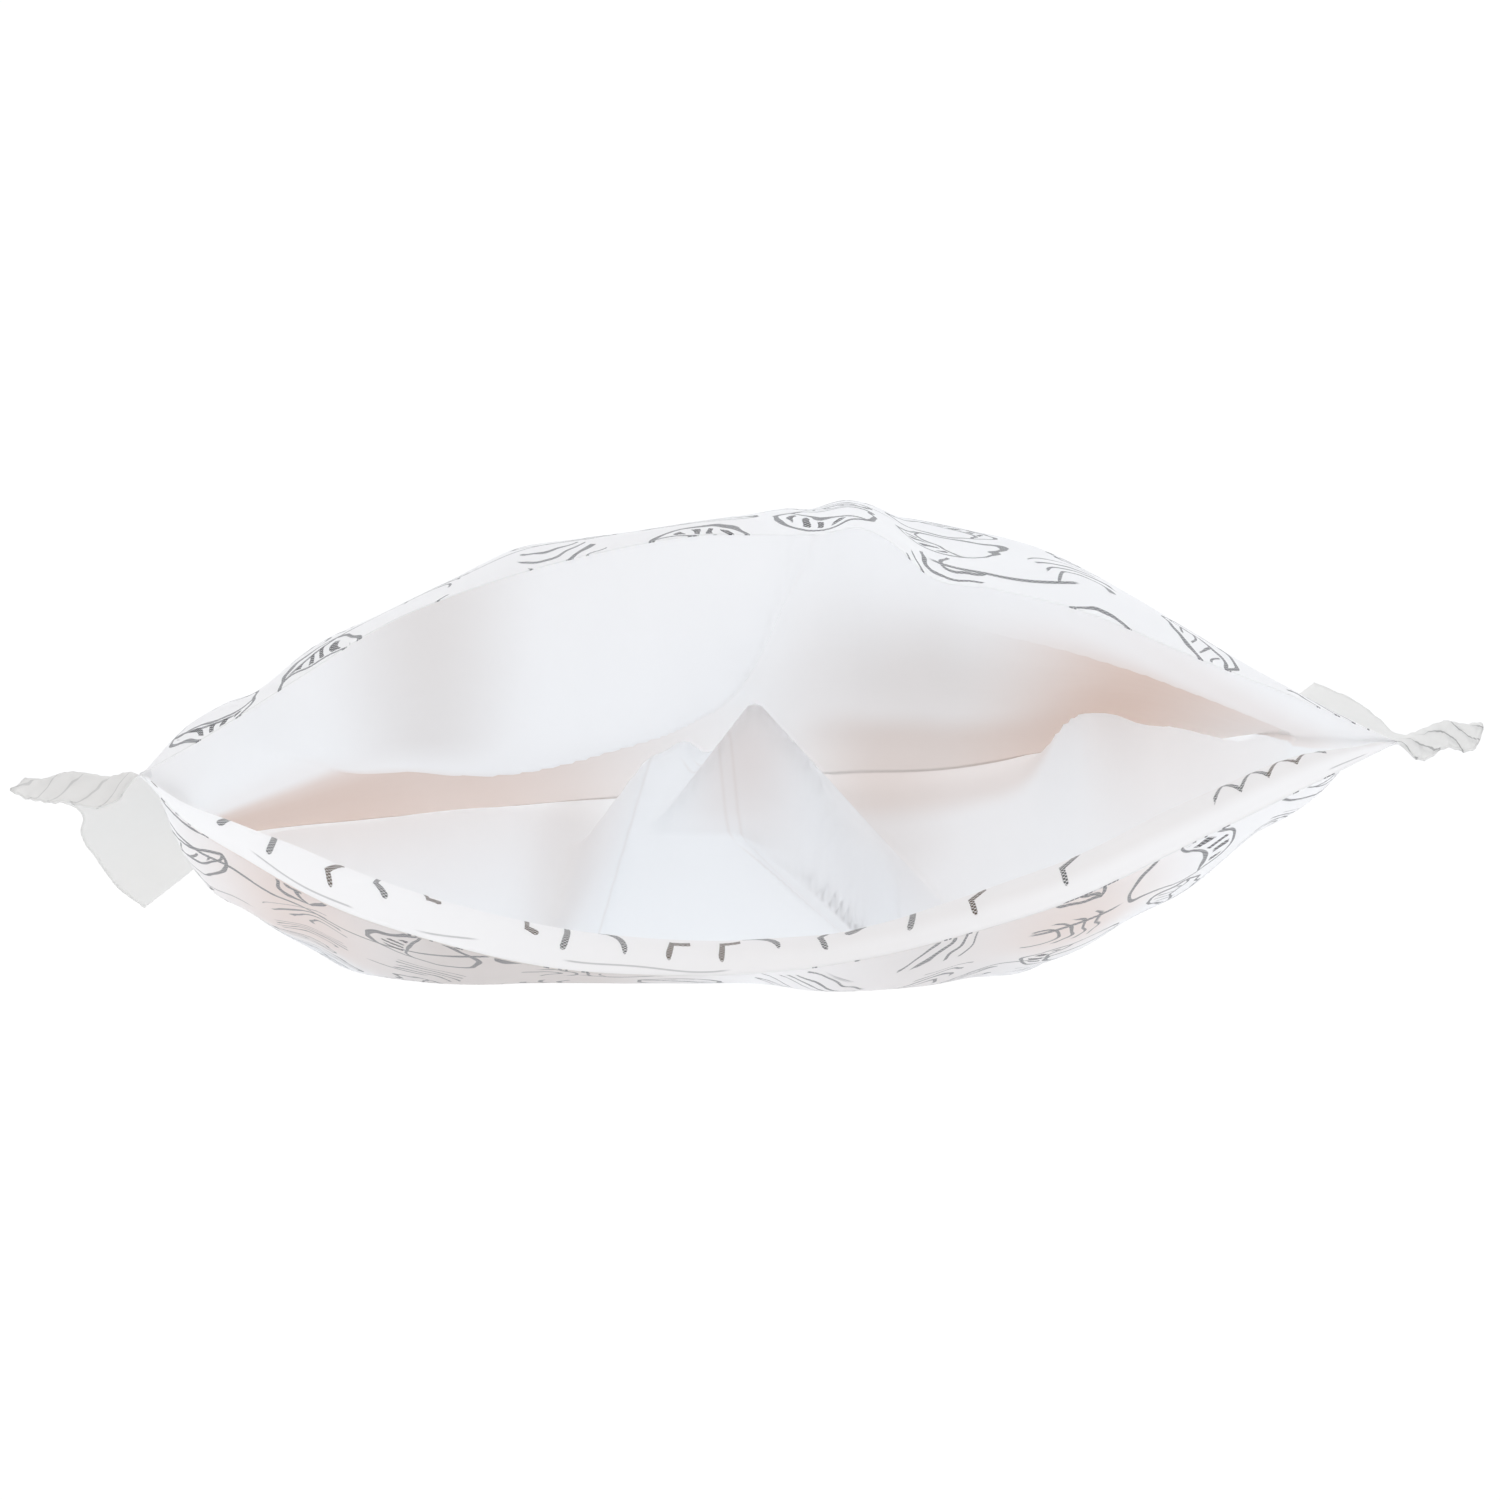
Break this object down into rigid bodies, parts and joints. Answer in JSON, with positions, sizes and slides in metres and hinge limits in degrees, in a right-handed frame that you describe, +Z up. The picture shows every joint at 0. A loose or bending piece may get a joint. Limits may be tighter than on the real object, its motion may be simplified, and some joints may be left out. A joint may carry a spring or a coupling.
{
  "type": "open empty film bag for hazelnuts",
  "caption": "Open, empty white film bag for nuts, lying on its side panel with a lens-shaped mouth, crimped side welds and a flat welded end.",
  "frame": {"origin": "centre of the bag's footprint box, on the table it lies on", "axes": "+Y from the open mouth towards the welded end, +Z up from the table, +X to the right seen from the mouth"},
  "size_m": [0.158, 0.228, 0.0515],
  "materials": {
    "film": "thin translucent white film, satin, printed outside with grey dotted line drawings"
  },
  "bodies": {
    "root": {"bag_film": "film"}
  },
  "joints": []
}
